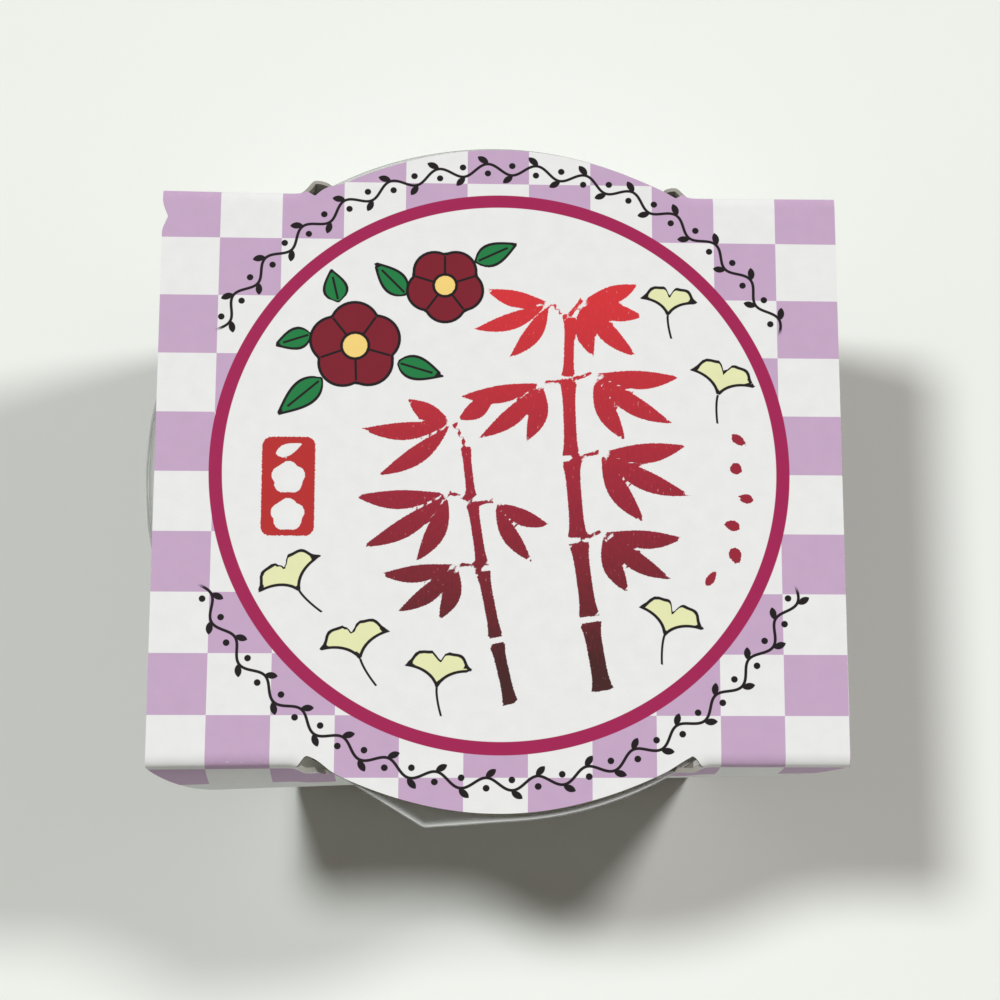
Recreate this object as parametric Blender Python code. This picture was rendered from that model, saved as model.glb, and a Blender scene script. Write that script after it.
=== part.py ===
"""A cup of yokan in its printed wrap: a clear cup with a die-cut flange, its peel film, the
set yokan inside, and a carton sleeve folded round them, open at the left and right sides.

Metres, +Z up. The front, where the peel tab is, faces -Y. The origin is the middle of the
sleeve's underside. Every piece of the stack keeps a small gap to the next one.
"""

import math

import bmesh
import bpy
import numpy as np

# Sleeve: the board, its top panel and the two panels that lean in to the base
BOARD = 0.00045
HEIGHT = 0.0320
HALF_WIDTH = 0.0350
HALF_DEPTH = 0.0300
FOOT_HALF_WIDTH = 0.0220
PANEL_LEAN = 0.0045
PANEL_BOW = 0.00175
FRONT_BOW_MIDDLE = 0.72
FRONT_BOW_SLOPE = -0.36
BACK_BOW_MIDDLE = 0.70
FOLD_RADIUS = 0.0007
FOLD_STEPS = 4
ROUNDING_STEPS = 5
PANEL_STEPS = 12
WIDTH_STATIONS = 9

# Base: the outer layer stops short of the back fold, and the glued flap lies on it
GLUE_LINE = 0.0001
OUTER_LAYER_END = 0.0236
FLAP_END = 0.0110

# Round tongues left standing when the front and back panels fold down
TONGUE_RADIUS = 0.0350
TONGUE_STEPS = 24
SLIT_HEIGHT = 0.0017
SLIT_ENDS = {-1: (-0.0185, 0.0195), 1: (-0.0205, 0.0195)}

# Small hooks where each cut crosses its fold: a hole in the top and an ear standing beside it
HOOK_HALF_LENGTH = 0.0014
HOOK_REACH = 0.0010
HOOK_DEPTH = 0.0008
EAR_HALF_LENGTH = 0.0011
EAR_REACH = 0.0008
EAR_ROOT = 0.0002
HOOK_STEPS = 18
HOOKS = {
    "front_left": (-0.0182, -1),
    "front_right": (0.0194, -1),
    "back_left": (-0.0201, 1),
    "back_right": (0.0193, 1),
}

# Chip in the board's left edge, near the back
CHIP_CENTRE_Y = 0.0267
CHIP_LENGTH = 0.0029
CHIP_DEPTH = 0.0006

# Cup, set a little to the left in the sleeve
GAP = 0.0003
CUP_CENTRE_X = -0.0005
CUP_CENTRE_Y = -0.0001
CUP_WALL = 0.0007
CUP_MOUTH_RADIUS = 0.0290
CUP_LEDGE_RADIUS = 0.0281
CUP_LEDGE_HEIGHT = 0.0262
CUP_BASE_RADIUS = 0.0241
CUP_CORNER_RADIUS = 0.0022
CUP_RECESS_RADIUS = 0.0185
CUP_RECESS_DEPTH = 0.0009
ROUND_STEPS = 72

# Flange and film share one die-cut outline: a circle drawn out to a blunt peel corner
FLANGE_RADIUS = 0.0355
FLANGE_THICKNESS = 0.0006
FILM_THICKNESS = 0.0002
TAB_TIP = (-0.0067, -0.0366)
TAB_TIP_RADIUS = 0.0008
TAB_LEFT_ANGLE = math.radians(46)

# Yokan: how far its top lies under the film, and the rounding of its rim
HEADSPACE = 0.0008
YOKAN_RIM_RADIUS = 0.0007

# Levels worked out from the stack, from the top board down and from the base up
BOARD_UNDERSIDE = HEIGHT - BOARD
FILM_TOP = BOARD_UNDERSIDE - GAP
FILM_BOTTOM = FILM_TOP - FILM_THICKNESS
FLANGE_TOP = FILM_BOTTOM - GAP
FLANGE_BOTTOM = FLANGE_TOP - FLANGE_THICKNESS
FLAP_UNDERSIDE = BOARD + GLUE_LINE
CUP_FOOT = FLAP_UNDERSIDE + BOARD + GAP
YOKAN_TOP = FILM_BOTTOM - HEADSPACE

OVERCUT = 0.002


def clear_scene():
    """Removes every object, so that only this part is left."""
    for obj in list(bpy.data.objects):
        bpy.data.objects.remove(obj, do_unlink=True)


def finish(name, colour, roughness, alpha=1.0, transmission=0.0):
    """A plain material of one colour."""
    material = bpy.data.materials.new(name)
    material.use_nodes = True
    shader = material.node_tree.nodes["Principled BSDF"]
    shader.inputs["Base Color"].default_value = (*colour, 1.0)
    shader.inputs["Roughness"].default_value = roughness
    shader.inputs["Metallic"].default_value = 0.0
    shader.inputs["Alpha"].default_value = alpha
    shader.inputs["Transmission Weight"].default_value = transmission
    return material


def add_object(name, mesh, material=None):
    """Puts a mesh in the scene as an object of this name."""
    obj = bpy.data.objects.new(name, mesh)
    bpy.context.scene.collection.objects.link(obj)
    if material is not None:
        mesh.materials.append(material)
    return obj


def shade_round(obj, angle=math.radians(35)):
    """Smooth shading with sharp edges kept."""
    obj.data.shade_smooth()
    obj.data.set_sharp_from_angle(angle=angle)


def combine(target, operand, operation):
    """Adds a Boolean to target, and hides the operand from renders."""
    modifier = target.modifiers.new(f"{operation.lower()}_{operand.name}", "BOOLEAN")
    modifier.operation = operation
    modifier.solver = "EXACT"
    modifier.object = operand
    operand.hide_render = True
    operand.display_type = "WIRE"


def prism(name, outline, axis, low, high):
    """A closed prism: an outline of (a, b) points, drawn along axis from low to high.

    The outline lies in XY for axis Z and in XZ for axis Y.
    """
    if axis == "Z":
        corners = [(a, b, low) for a, b in outline]
        travel = (0, 0, high - low)
    else:
        corners = [(a, low, b) for a, b in outline]
        travel = (0, high - low, 0)
    bm = bmesh.new()
    face = bm.faces.new([bm.verts.new(corner) for corner in corners])
    drawn = bmesh.ops.extrude_face_region(bm, geom=[face])
    moved = [item for item in drawn["geom"] if isinstance(item, bmesh.types.BMVert)]
    bmesh.ops.translate(bm, verts=moved, vec=travel)
    bmesh.ops.recalc_face_normals(bm, faces=bm.faces)
    mesh = bpy.data.meshes.new(name)
    bm.to_mesh(mesh)
    bm.free()
    return mesh


def turned(name, profile, centre=(CUP_CENTRE_X, CUP_CENTRE_Y)):
    """A solid of revolution about Z from (radius, z) points that start and end on the axis."""
    bm = bmesh.new()
    line = [bm.verts.new((radius, 0, z)) for radius, z in profile]
    edges = [bm.edges.new(pair) for pair in zip(line, line[1:])]
    bmesh.ops.spin(
        bm,
        geom=line + edges,
        cent=(0, 0, 0),
        axis=(0, 0, 1),
        angle=2 * math.pi,
        steps=ROUND_STEPS,
        use_merge=True,
    )
    bmesh.ops.remove_doubles(bm, verts=bm.verts, dist=1e-6)
    bmesh.ops.recalc_face_normals(bm, faces=bm.faces)
    bmesh.ops.translate(bm, verts=bm.verts, vec=(*centre, 0))
    mesh = bpy.data.meshes.new(name)
    bm.to_mesh(mesh)
    bm.free()
    return mesh


def arc(centre, radius, start, end, steps):
    """Points on a circle from angle start to angle end, both included."""
    angles = np.linspace(start, end, steps + 1)
    return np.column_stack(
        [centre[0] + radius * np.cos(angles), centre[1] + radius * np.sin(angles)]
    )


def oval(centre, half_length, half_width, steps):
    """A closed oval outline."""
    circle = arc((0, 0), 1, 0, 2 * math.pi, steps)[:-1]
    return (circle * [half_length, half_width] + centre).tolist()


def panel_line(side, foot_z, bow):
    """(y, z, half width) points down one upright panel, from its top fold to its foot fold.

    The panel leans in steadily and bows out as half a sine wave, while its sides close in.
    """
    t = np.linspace(0, 1, PANEL_STEPS + 1)
    out = HALF_DEPTH - PANEL_LEAN * t + PANEL_BOW * bow * np.sin(math.pi * t)
    top, foot = HEIGHT - FOLD_RADIUS, foot_z + FOLD_RADIUS
    half = HALF_WIDTH + (FOOT_HALF_WIDTH - HALF_WIDTH) * t
    return np.column_stack([side * out, top + (foot - top) * t, half])


def with_width(points, half):
    """(y, z) points given one half width."""
    return np.column_stack([points, np.full(len(points), half)])


def sleeve_section(u):
    """The board's outer face as a line of (y, z, half width), at u from -1, left, to 1, right.

    It starts at the free edge of the base's outer layer, runs forward under the cup, up the
    front, back over the top, down the back, and ends at the free edge of the glued flap.
    """
    foot_y = HALF_DEPTH - PANEL_LEAN - FOLD_RADIUS
    fold_y = HALF_DEPTH - FOLD_RADIUS
    fold_z = HEIGHT - FOLD_RADIUS
    half_pi = math.pi / 2
    front_bow = FRONT_BOW_MIDDLE + FRONT_BOW_SLOPE * u
    front = panel_line(-1, 0.0, front_bow)[::-1]
    back = panel_line(1, FLAP_UNDERSIDE, BACK_BOW_MIDDLE)
    front_foot = arc((-foot_y, FOLD_RADIUS), FOLD_RADIUS, -half_pi, -math.pi, FOLD_STEPS)
    front_fold = arc((-fold_y, fold_z), FOLD_RADIUS, math.pi, half_pi, FOLD_STEPS)
    back_fold = arc((fold_y, fold_z), FOLD_RADIUS, half_pi, 0, FOLD_STEPS)
    back_foot = arc(
        (foot_y, FLAP_UNDERSIDE + FOLD_RADIUS), FOLD_RADIUS, 0, -half_pi, FOLD_STEPS
    )
    return np.vstack(
        [
            with_width(np.array([[OUTER_LAYER_END, 0.0]]), FOOT_HALF_WIDTH),
            with_width(front_foot[:-1], FOOT_HALF_WIDTH),
            front,
            with_width(front_fold[1:], HALF_WIDTH),
            with_width(back_fold[:-1], HALF_WIDTH),
            back,
            with_width(back_foot[1:], FOOT_HALF_WIDTH),
            with_width(np.array([[FLAP_END, FLAP_UNDERSIDE]]), FOOT_HALF_WIDTH),
        ]
    )


def inner_face(section):
    """The same line moved in by the board's thickness, along the line's own normals."""
    steps = np.diff(section[:, :2], axis=0)
    steps /= np.linalg.norm(steps, axis=1)[:, None]
    before = np.vstack([steps[:1], steps])
    after = np.vstack([steps, steps[-1:]])
    tangent = before + after
    length = np.linalg.norm(tangent, axis=1)[:, None]
    tangent /= length
    normal = np.column_stack([tangent[:, 1], -tangent[:, 0]])
    reach = BOARD * 2 / length
    return np.column_stack([section[:, :2] + normal * reach, section[:, 2]])


def sleeve_band():
    """The folded strip of board as a closed mesh, before the tongues and cuts."""
    outer, inner = [], []
    for u in np.linspace(-1, 1, WIDTH_STATIONS):
        section = sleeve_section(u)
        for face, line in ((outer, section), (inner, inner_face(section))):
            face.append(np.column_stack([u * line[:, 2], line[:, 0], line[:, 1]]))
    rows = len(outer[0])
    points = np.concatenate(outer + inner)
    half = WIDTH_STATIONS * rows
    faces = []

    def quad(a, b, c, d):
        faces.extend([(a, b, c), (a, c, d)])

    for j in range(WIDTH_STATIONS - 1):
        for i in range(rows - 1):
            a, b = j * rows + i, j * rows + i + 1
            c, d = b + rows, a + rows
            quad(a, b, c, d)
            quad(d + half, c + half, b + half, a + half)
        start, end = j * rows, (j + 1) * rows - 1
        quad(start, start + rows, start + rows + half, start + half)
        quad(end + rows, end, end + half, end + rows + half)
    last = (WIDTH_STATIONS - 1) * rows
    for i in range(rows - 1):
        quad(i + 1, i, i + half, i + 1 + half)
        quad(last + i, last + i + 1, last + i + 1 + half, last + i + half)
    mesh = bpy.data.meshes.new("sleeve")
    mesh.from_pydata(points.tolist(), [], faces)
    bm = bmesh.new()
    bm.from_mesh(mesh)
    bmesh.ops.recalc_face_normals(bm, faces=bm.faces)
    bm.to_mesh(mesh)
    bm.free()
    return mesh


def tongue(side):
    """The round end of the top board past one fold, with some of the panel behind it."""
    root = HALF_DEPTH - 2 * FOLD_RADIUS
    reach = math.acos(root / TONGUE_RADIUS)
    middle = side * math.pi / 2
    outline = arc((0, 0), TONGUE_RADIUS, middle - reach, middle + reach, TONGUE_STEPS)
    return prism(f"tongue_{side}", outline.tolist(), "Z", BOARD_UNDERSIDE, HEIGHT)


def slot(side):
    """What the tongue leaves open in the panel below it, with a slit that lets the flange out."""
    left, right = SLIT_ENDS[side]
    slit_z = BOARD_UNDERSIDE - SLIT_HEIGHT
    centre_z = HEIGHT + HALF_DEPTH
    reach = math.acos((centre_z - slit_z) / TONGUE_RADIUS)
    middle = -math.pi / 2
    lower = arc((0, centre_z), TONGUE_RADIUS, middle - reach, middle + reach, TONGUE_STEPS)
    outline = [
        (left, BOARD_UNDERSIDE),
        (left, slit_z),
        *lower.tolist(),
        (right, slit_z),
        (right, BOARD_UNDERSIDE),
    ]
    near, far = sorted(
        [side * (HALF_DEPTH - 2 * FOLD_RADIUS), side * (HALF_DEPTH + OVERCUT)]
    )
    return prism(f"slot_{side}", outline, "Y", near, far)


def hook_hole(name, x, side):
    """The hole that a hooked cut leaves in the top board, down to just under the fold."""
    outline = oval((x, side * HALF_DEPTH), HOOK_HALF_LENGTH, HOOK_REACH, HOOK_STEPS)
    return prism(f"hole_{name}", outline, "Z", HEIGHT - HOOK_DEPTH, HEIGHT + OVERCUT)


def ear(name, x, side):
    """The round-topped ear that the same cut leaves standing on the panel, rooted under the hole."""
    top = arc((0, 0), 1, 0, math.pi, HOOK_STEPS // 2) * [EAR_HALF_LENGTH, EAR_REACH]
    top += [x, HEIGHT - BOARD / 2]
    foot_z = HEIGHT - HOOK_DEPTH - EAR_ROOT
    outline = [*top.tolist(), (x - EAR_HALF_LENGTH, foot_z), (x + EAR_HALF_LENGTH, foot_z)]
    faces = sorted([side * (HALF_DEPTH - BOARD), side * HALF_DEPTH])
    return prism(f"ear_{name}", outline, "Y", *faces)


def chip():
    """The small V torn from the board's left edge."""
    half = CHIP_LENGTH / 2
    outline = [
        (-HALF_WIDTH - OVERCUT, CHIP_CENTRE_Y - half * (1 + OVERCUT / CHIP_DEPTH)),
        (-HALF_WIDTH + CHIP_DEPTH, CHIP_CENTRE_Y),
        (-HALF_WIDTH - OVERCUT, CHIP_CENTRE_Y + half * (1 + OVERCUT / CHIP_DEPTH)),
    ]
    return prism("chip", outline, "Z", BOARD_UNDERSIDE - OVERCUT, HEIGHT + OVERCUT)


def make_sleeve(board):
    """The carton sleeve: folded strip, tongues, slots, hooks and the chip."""
    sleeve = add_object("sleeve", sleeve_band(), board)
    for side in (-1, 1):
        combine(sleeve, add_object(f"tongue_plate_{side}", tongue(side)), "UNION")
    for name, (x, side) in HOOKS.items():
        combine(sleeve, add_object(f"hole_cutter_{name}", hook_hole(name, x, side)), "DIFFERENCE")
        combine(sleeve, add_object(f"ear_plate_{name}", ear(name, x, side)), "UNION")
    for side in (-1, 1):
        combine(sleeve, add_object(f"slot_cutter_{side}", slot(side)), "DIFFERENCE")
    combine(sleeve, add_object("chip_cutter", chip()), "DIFFERENCE")
    return sleeve


def flange_outline():
    """The outline that flange and film share: a circle, a long straight edge and a blunt tip.

    Angles run from the front, -Y, round by the left. The straight edge leaves the circle at
    TAB_LEFT_ANGLE for the tip, and the tip's other edge comes back to the circle as a tangent.
    """
    centre = np.array([CUP_CENTRE_X, CUP_CENTRE_Y])
    tip = np.array(TAB_TIP)
    to_tip = tip - centre
    tip_angle = math.atan2(-to_tip[0], -to_tip[1])
    tangent_angle = tip_angle - math.acos(FLANGE_RADIUS / np.linalg.norm(to_tip))
    angles = np.linspace(TAB_LEFT_ANGLE, 2 * math.pi + tangent_angle, ROUND_STEPS)
    circle = centre - FLANGE_RADIUS * np.column_stack([np.sin(angles), np.cos(angles)])
    before = circle[-1] - tip
    after = circle[0] - tip
    before /= np.linalg.norm(before)
    after /= np.linalg.norm(after)
    half_angle = math.acos(float(before @ after)) / 2
    run = TAB_TIP_RADIUS / math.tan(half_angle)
    bisector = (before + after) / np.linalg.norm(before + after)
    middle = tip + bisector * TAB_TIP_RADIUS / math.sin(half_angle)
    ends = [tip + before * run - middle, tip + after * run - middle]
    start, end = (math.atan2(point[1], point[0]) for point in ends)
    if end > start:
        end -= 2 * math.pi
    rounded = arc(middle, TAB_TIP_RADIUS, start, end, ROUNDING_STEPS)
    return np.vstack([circle, rounded]).tolist()


def cup_profile():
    """The cup's outer face as (radius, z), from the middle of its base to its mouth."""
    corner_z = CUP_FOOT + CUP_CORNER_RADIUS
    slope = (CUP_LEDGE_RADIUS - CUP_BASE_RADIUS) / (CUP_LEDGE_HEIGHT - corner_z)
    corner = arc(
        (CUP_BASE_RADIUS - CUP_CORNER_RADIUS, corner_z),
        CUP_CORNER_RADIUS,
        -math.pi / 2,
        -math.atan(slope),
        ROUNDING_STEPS,
    )
    return np.vstack(
        [
            [[0, CUP_FOOT + CUP_RECESS_DEPTH]],
            [[CUP_RECESS_RADIUS, CUP_FOOT + CUP_RECESS_DEPTH]],
            [[CUP_RECESS_RADIUS + CUP_RECESS_DEPTH, CUP_FOOT]],
            corner,
            [[CUP_LEDGE_RADIUS, CUP_LEDGE_HEIGHT]],
            [[CUP_MOUTH_RADIUS, CUP_LEDGE_HEIGHT + CUP_WALL]],
            [[CUP_MOUTH_RADIUS, FLANGE_TOP]],
        ]
    )


def inset(profile, distance):
    """A profile moved inwards, each corner along its mitre. Its first point stays on the axis."""
    steps = np.diff(profile, axis=0)
    steps /= np.linalg.norm(steps, axis=1)[:, None]
    before = np.vstack([steps[:1], steps])
    after = np.vstack([steps, steps[-1:]])
    tangent = before + after
    length = np.linalg.norm(tangent, axis=1)[:, None]
    normal = np.column_stack([-tangent[:, 1], tangent[:, 0]]) / length
    moved = profile + normal * distance * 2 / length
    moved[0, 0] = 0
    return moved


def make_cup(clear):
    """The clear cup: a turned body with its die-cut flange, hollowed by the cavity."""
    outside = cup_profile()
    body = np.vstack([outside, [[0, FLANGE_TOP]]])
    inside = inset(outside, CUP_WALL)
    inside[-1, 1] = FLANGE_TOP + OVERCUT
    hollow = np.vstack([inside, [[0, FLANGE_TOP + OVERCUT]]])
    cup = add_object("cup", turned("cup", body.tolist()), clear)
    plate = prism("flange", flange_outline(), "Z", FLANGE_BOTTOM, FLANGE_TOP)
    combine(cup, add_object("flange_plate", plate), "UNION")
    cavity = add_object("cavity_cutter", turned("cavity", hollow.tolist()))
    combine(cup, cavity, "DIFFERENCE")
    shade_round(cup)
    return cup


def make_film(clear):
    """The peel film over the flange, with its tab."""
    return add_object(
        "lid_film", prism("lid_film", flange_outline(), "Z", FILM_BOTTOM, FILM_TOP), clear
    )


def make_yokan(sweet):
    """The set yokan, which fills the cup to just under the film."""
    side = inset(cup_profile(), CUP_WALL + GAP)
    side[-1, 1] = YOKAN_TOP - YOKAN_RIM_RADIUS
    rim = arc(
        (side[-1, 0] - YOKAN_RIM_RADIUS, side[-1, 1]),
        YOKAN_RIM_RADIUS,
        0,
        math.pi / 2,
        ROUNDING_STEPS,
    )
    profile = np.vstack([side[:-1], rim, [[0, YOKAN_TOP]]])
    yokan = add_object("yokan", turned("yokan", profile.tolist()), sweet)
    shade_round(yokan)
    return yokan


def main():
    clear_scene()
    make_sleeve(finish("printed_board", (0.86, 0.84, 0.85), 0.55))
    make_cup(finish("clear_cup", (0.88, 0.90, 0.89), 0.12, alpha=0.35, transmission=0.9))
    make_film(finish("peel_film", (0.90, 0.92, 0.91), 0.08, alpha=0.30, transmission=0.9))
    make_yokan(finish("wine_yokan", (0.10, 0.012, 0.018), 0.22))


main()
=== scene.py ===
"""The looks of a cup of yokan in its printed carton sleeve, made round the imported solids.

Blender's own lengths are metres, with +Z up and the peel tab's side facing -Y. The pieces are
worked out in millimetres, in the same frame, and turned into metres when a mesh is made.
"""

import logging
import math
from collections.abc import Iterator, Mapping, Sequence
from dataclasses import dataclass
from enum import Enum
from typing import Any

import bmesh
import bpy
import numpy as np
from mathutils import Matrix, Vector


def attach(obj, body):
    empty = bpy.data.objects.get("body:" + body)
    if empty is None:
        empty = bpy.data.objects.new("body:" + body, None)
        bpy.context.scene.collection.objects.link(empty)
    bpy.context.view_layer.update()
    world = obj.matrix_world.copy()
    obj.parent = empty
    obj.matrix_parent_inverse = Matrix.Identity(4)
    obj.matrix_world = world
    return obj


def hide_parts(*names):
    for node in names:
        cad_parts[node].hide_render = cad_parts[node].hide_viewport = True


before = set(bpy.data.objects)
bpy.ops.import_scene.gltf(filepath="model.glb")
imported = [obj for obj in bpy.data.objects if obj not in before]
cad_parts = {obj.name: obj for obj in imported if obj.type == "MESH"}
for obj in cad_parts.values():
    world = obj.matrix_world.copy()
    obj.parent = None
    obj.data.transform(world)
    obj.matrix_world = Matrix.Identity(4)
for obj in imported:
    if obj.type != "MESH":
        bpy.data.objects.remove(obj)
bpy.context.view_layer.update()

MM = 0.001
LOG = logging.getLogger("yokan")

WELD = 1e-6
SLIVER = 1e-7
SLACK = 1e-9
FOLD_ANGLE = math.radians(32)
SHARP_ANGLE = math.radians(50)

Grid = np.ndarray
Point = tuple[float, float]
Triple = tuple[float, float, float]
Colour = tuple[float, float, float, float]
Patch = tuple[Grid, Grid, Grid]


# Colours


class Ink(Enum):
    """Printed colours, as red, green and blue from 0 to 255."""

    BOARD = (226, 228, 228)
    LILAC = (190, 162, 193)
    MAGENTA = (156, 26, 80)
    BLACK = (18, 8, 14)
    RED = (206, 46, 52)
    WINE = (146, 30, 50)
    UMBER = (64, 26, 26)
    BRICK = (176, 40, 40)
    CELADON = (222, 226, 176)
    CLARET = (120, 20, 38)
    LEAF = (22, 120, 62)
    STAMEN = (236, 206, 120)

    @property
    def linear(self) -> Colour:
        """The ink as a linear colour."""
        return linear(self.value)


def linear(rgb: Sequence[float]) -> Colour:
    """Turns a screen colour into a linear one.

    Args:
        rgb: Red, green and blue from 0 to 255.

    Returns:
        Linear red, green and blue, with an alpha of 1.
    """
    part = np.asarray(rgb, float) / 255
    part = np.where(part <= 0.04045, part / 12.92, ((part + 0.055) / 1.055) ** 2.4)
    red, green, blue = part.tolist()
    return red, green, blue, 1.0


# Shader maths


class Reading:
    """A number socket of a node tree that takes arithmetic: each operation adds a Math node."""

    def __init__(self, desk: "Desk", socket: bpy.types.NodeSocket) -> None:
        """Wraps an output socket."""
        self.desk = desk
        self.socket = socket

    def _math(self, operation: str, *values: Any) -> "Reading":
        """Adds one Math node and wraps its output."""
        inputs = dict(enumerate(values))
        made = self.desk.node("ShaderNodeMath", {"operation": operation}, inputs)
        return Reading(self.desk, made.outputs[0])

    def __add__(self, other: "float | Reading") -> "Reading":
        """The sum."""
        return self._math("ADD", self, other)

    __radd__ = __add__

    def __sub__(self, other: "float | Reading") -> "Reading":
        """The difference."""
        return self._math("SUBTRACT", self, other)

    def __rsub__(self, other: float) -> "Reading":
        """The difference from a number."""
        return self._math("SUBTRACT", other, self)

    def __mul__(self, other: "float | Reading") -> "Reading":
        """The product."""
        return self._math("MULTIPLY", self, other)

    __rmul__ = __mul__

    def __truediv__(self, other: "float | Reading") -> "Reading":
        """The quotient."""
        return self._math("DIVIDE", self, other)

    def __abs__(self) -> "Reading":
        """The value without its sign."""
        return self._math("ABSOLUTE", self)

    def floor(self) -> "Reading":
        """The whole number below."""
        return self._math("FLOOR", self)

    def fraction(self) -> "Reading":
        """What is left above the whole number below."""
        return self._math("FRACT", self)

    def root(self) -> "Reading":
        """The square root."""
        return self._math("SQRT", self)

    def sine(self) -> "Reading":
        """The sine of an angle in radians."""
        return self._math("SINE", self)

    def cosine(self) -> "Reading":
        """The cosine of an angle in radians."""
        return self._math("COSINE", self)

    def angle_over(self, other: "Reading") -> "Reading":
        """The angle whose tangent is this value over the other one."""
        return self._math("ARCTAN2", self, other)

    def least(self, other: "float | Reading") -> "Reading":
        """The smaller of the two."""
        return self._math("MINIMUM", self, other)

    def most(self, other: "float | Reading") -> "Reading":
        """The larger of the two."""
        return self._math("MAXIMUM", self, other)

    def clamped(self) -> "Reading":
        """The value held between 0 and 1."""
        return self.most(0.0).least(1.0)

    def rising(self, low: float, high: float) -> "Reading":
        """A smooth step from 0 at low to 1 at high.

        Args:
            low: Where it starts.
            high: Where it ends. A high below low gives a falling step.

        Returns:
            The step, from 0 to 1.
        """
        settings = {"interpolation_type": "SMOOTHSTEP"}
        lower, upper = min(low, high), max(low, high)
        ends = (0.0, 1.0) if low < high else (1.0, 0.0)
        inputs = {"Value": self, "From Min": lower, "From Max": upper}
        inputs |= {"To Min": ends[0], "To Max": ends[1]}
        made = self.desk.node("ShaderNodeMapRange", settings, inputs)
        return Reading(self.desk, made.outputs["Result"])

    def inside(self, soft: float) -> "Reading":
        """1 where a signed distance is below zero, with an edge of the given softness."""
        return self.rising(soft, -soft)


class Desk:
    """Adds nodes to one node tree."""

    MIX_COLOURS = {"data_type": "RGBA", "blend_type": "MIX"}
    MIX_FACTOR, MIX_FIRST, MIX_SECOND, MIX_RESULT = 0, 6, 7, 2

    def __init__(self, tree: bpy.types.NodeTree) -> None:
        """Works on the given tree."""
        self.tree = tree

    def node(
        self,
        kind: str,
        settings: Mapping[str, Any] | None = None,
        inputs: Mapping[str | int, Any] | None = None,
    ) -> bpy.types.Node:
        """Adds one node.

        Args:
            kind: The node's type.
            settings: Its properties. "stops" holds a ramp's (position, colour) pairs.
            inputs: A number, colour, socket or Reading for each named or numbered socket.

        Returns:
            The node.
        """
        made = self.tree.nodes.new(kind)
        for name, value in (settings or {}).items():
            if name == "stops":
                self._set_stops(made.color_ramp, value)
            else:
                setattr(made, name, value)
        for name, value in (inputs or {}).items():
            target = made.inputs[name]
            if isinstance(value, Reading):
                self.tree.links.new(value.socket, target)
            elif isinstance(value, bpy.types.NodeSocket):
                self.tree.links.new(value, target)
            else:
                target.default_value = value
        return made

    @staticmethod
    def _set_stops(ramp: bpy.types.ColorRamp, stops: Sequence[tuple[float, Any]]) -> None:
        """Gives a ramp its stops."""
        while len(ramp.elements) < len(stops):
            ramp.elements.new(1.0)
        for element, (position, colour) in zip(ramp.elements, stops):
            element.position = position
            element.color = colour

    def number(self, kind: str, output: str | int, settings: Any = None, inputs: Any = None) -> Reading:
        """Adds one node and wraps one of its outputs as a number."""
        return Reading(self, self.node(kind, settings, inputs).outputs[output])

    def attribute(self, name: str) -> Reading:
        """The number that a mesh holds under this name."""
        return self.number("ShaderNodeAttribute", "Fac", {"attribute_name": name})

    def spot(self) -> bpy.types.NodeSocket:
        """The place on the object, in metres."""
        return self.node("ShaderNodeTexCoord").outputs["Object"]

    def noise(self, vector: Any, scale: float, detail: float = 2.0, roughness: float = 0.5) -> Reading:
        """Noise around 0.5 at so many bumps to the unit of the vector."""
        inputs = {"Vector": vector, "Scale": scale, "Detail": detail, "Roughness": roughness}
        return self.number("ShaderNodeTexNoise", "Fac", {"noise_dimensions": "3D"}, inputs)

    def stretched(self, vector: Any, scale: Sequence[float]) -> bpy.types.NodeSocket:
        """A vector multiplied part by part."""
        inputs = {0: vector, 1: tuple(scale)}
        made = self.node("ShaderNodeVectorMath", {"operation": "MULTIPLY"}, inputs)
        return made.outputs[0]

    def over(self, under: Any, colour: Any, mask: Reading) -> bpy.types.NodeSocket:
        """Lays one colour over another where the mask is 1."""
        inputs = {self.MIX_FACTOR: mask, self.MIX_FIRST: under, self.MIX_SECOND: colour}
        return self.node("ShaderNodeMix", self.MIX_COLOURS, inputs).outputs[self.MIX_RESULT]

    def shaded(self, colour: Any, level: Reading) -> bpy.types.NodeSocket:
        """A colour made lighter or darker by a number."""
        inputs = {0: colour[:3] if isinstance(colour, tuple) else colour, "Scale": level}
        made = self.node("ShaderNodeVectorMath", {"operation": "SCALE"}, inputs)
        return made.outputs[0]

    def bumped(self, height: Reading, strength: float, distance: float) -> bpy.types.NodeSocket:
        """The normal of a surface with that relief."""
        inputs = {"Height": height, "Strength": strength, "Distance": distance}
        return self.node("ShaderNodeBump", None, inputs).outputs["Normal"]

    def principled(self, inputs: Mapping[str, Any]) -> bpy.types.Node:
        """Adds a Principled shader."""
        return self.node("ShaderNodeBsdfPrincipled", None, inputs)

    def finish(self, shader: bpy.types.Node) -> None:
        """Links a shader to the material's output."""
        output = self.node("ShaderNodeOutputMaterial")
        self.tree.links.new(shader.outputs[0], output.inputs["Surface"])


@dataclass(frozen=True)
class Finish:
    """A material that is made from nodes."""

    name: str

    def dress(self, desk: Desk) -> bpy.types.Node:
        """Adds the nodes and returns the last shader."""
        raise NotImplementedError

    def material(self) -> bpy.types.Material:
        """Makes the material.

        Returns:
            The material of this finish.
        """
        made = bpy.data.materials.new(self.name)
        made.use_nodes = True
        made.node_tree.nodes.clear()
        desk = Desk(made.node_tree)
        desk.finish(self.dress(desk))
        return made


# The print


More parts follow.
